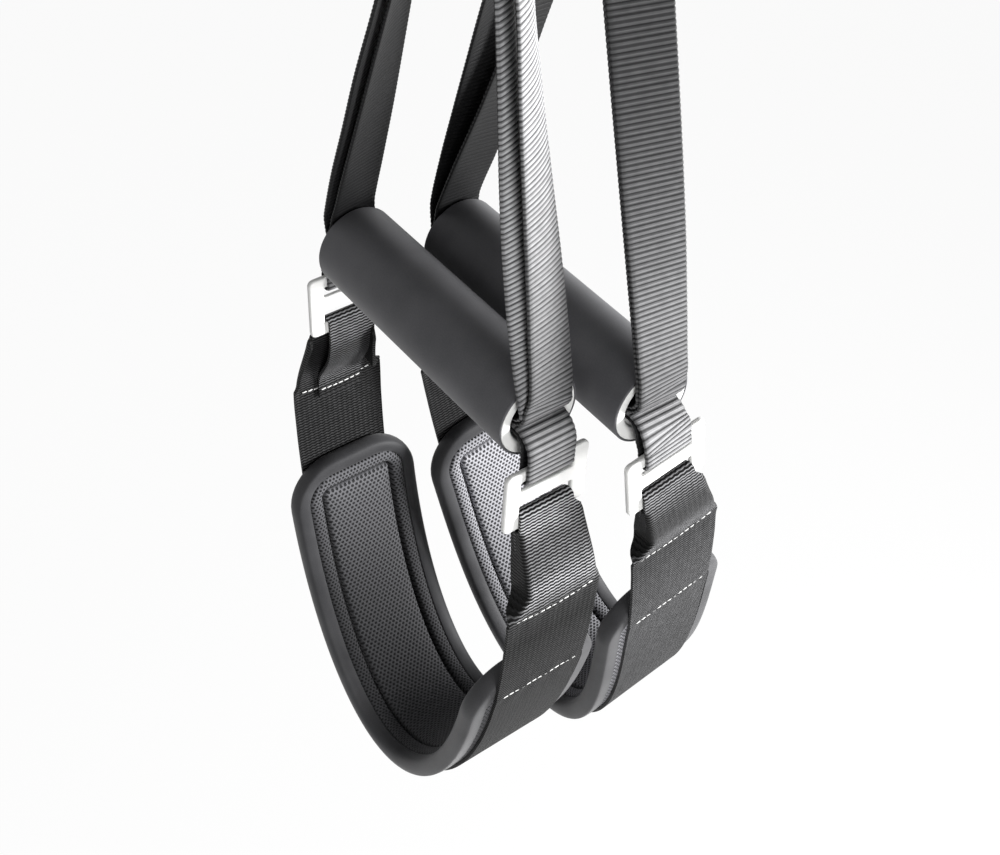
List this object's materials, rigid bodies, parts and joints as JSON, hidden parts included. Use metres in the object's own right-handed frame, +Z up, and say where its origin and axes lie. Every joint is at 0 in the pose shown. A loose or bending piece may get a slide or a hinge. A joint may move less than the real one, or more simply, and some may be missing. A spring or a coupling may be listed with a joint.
{
  "type": "suspension trainer handles",
  "caption": "Pair of padded foot cradles and foam hand grips on webbing loops, hung from a steel hanger and snap hook for bodyweight suspension training",
  "frame": {"origin": "where the anchor bears inside the top of the snap hook", "axes": "+Z up, X along both grips, Y from the left set to the right set"},
  "size_m": [0.1915, 0.1713, 0.7403],
  "materials": {
    "hook_steel": "polished",
    "hanger_steel": "satin",
    "spring_steel": "plain",
    "loop_webbing": "ribbed weave",
    "link_webbing": "ribbed weave",
    "cradle_webbing": "ribbed weave",
    "grip_foam": "smooth matte foam",
    "tube_plastic": "plain",
    "white_plastic": "satin",
    "buckle_plastic": "satin",
    "pad_fabric": "knitted face over foam",
    "binding_neoprene": "smooth knit over neoprene",
    "liner_mesh": "open air mesh"
  },
  "bodies": {
    "hook": {"carabiner_body": "hook_steel", "gate_pin": "hook_steel"},
    "gate": {"carabiner_gate": "hook_steel", "gate_spring": "spring_steel"},
    "hanger": {"hanger_ring": "hanger_steel"},
    "left_loop": {"left_inner_loop_strap": "loop_webbing", "left_outer_loop_strap": "loop_webbing", "left_link_strap": "link_webbing"},
    "left_grip": {"left_grip_foam": "grip_foam", "left_grip_tube": "tube_plastic", "left_front_end_cap": "white_plastic", "left_back_end_cap": "white_plastic"},
    "left_cradle": {"left_front_buckle": "buckle_plastic", "left_back_buckle": "buckle_plastic", "left_cradle_webbing": "cradle_webbing", "left_cradle_pad": "pad_fabric", "left_edge_binding": "binding_neoprene", "left_pad_liner": "liner_mesh"},
    "right_loop": {"right_inner_loop_strap": "loop_webbing", "right_outer_loop_strap": "loop_webbing", "right_link_strap": "link_webbing"},
    "right_grip": {"right_grip_foam": "grip_foam", "right_grip_tube": "tube_plastic", "right_front_end_cap": "white_plastic", "right_back_end_cap": "white_plastic"},
    "right_cradle": {"right_front_buckle": "buckle_plastic", "right_back_buckle": "buckle_plastic", "right_cradle_webbing": "cradle_webbing", "right_cradle_pad": "pad_fabric", "right_edge_binding": "binding_neoprene", "right_pad_liner": "liner_mesh"}
  },
  "joints": [
    {"name": "gate_hinge", "type": "hinge", "parent": "hook", "child": "gate", "pos_m": [0.0195, 0, -0.0575], "axis": [0, -1, 0], "range_deg": [0, 25], "stiffness_Nm_per_rad": 0.05},
    {"name": "hanger_swing", "type": "hinge", "parent": "hook", "child": "hanger", "pos_m": [0, 0, -0.0825], "axis": [1, 0, 0], "range_deg": [-40, 40]},
    {"name": "left_loop_swing", "type": "hinge", "parent": "hanger", "child": "left_loop", "pos_m": [0, -0.02199, -0.134], "axis": [0, 1, 0], "range_deg": [-40, 40]},
    {"name": "left_grip_roll", "type": "hinge", "parent": "left_loop", "child": "left_grip", "pos_m": [-0.01, -0.02199, -0.436], "axis": [1, 0, 0], "continuous": true},
    {"name": "left_cradle_swing", "type": "hinge", "parent": "left_loop", "child": "left_cradle", "pos_m": [-0.01, -0.02199, -0.436], "axis": [-1, 0, 0], "range_deg": [0, 35], "deforming": ["left_link_strap"]},
    {"name": "right_loop_swing", "type": "hinge", "parent": "hanger", "child": "right_loop", "pos_m": [0, 0.02199, -0.134], "axis": [0, 1, 0], "range_deg": [-40, 40]},
    {"name": "right_grip_roll", "type": "hinge", "parent": "right_loop", "child": "right_grip", "pos_m": [0.01, 0.02199, -0.436], "axis": [1, 0, 0], "continuous": true},
    {"name": "right_cradle_swing", "type": "hinge", "parent": "right_loop", "child": "right_cradle", "pos_m": [0.01, 0.02199, -0.436], "axis": [1, 0, 0], "range_deg": [0, 35], "deforming": ["right_link_strap"]}
  ]
}
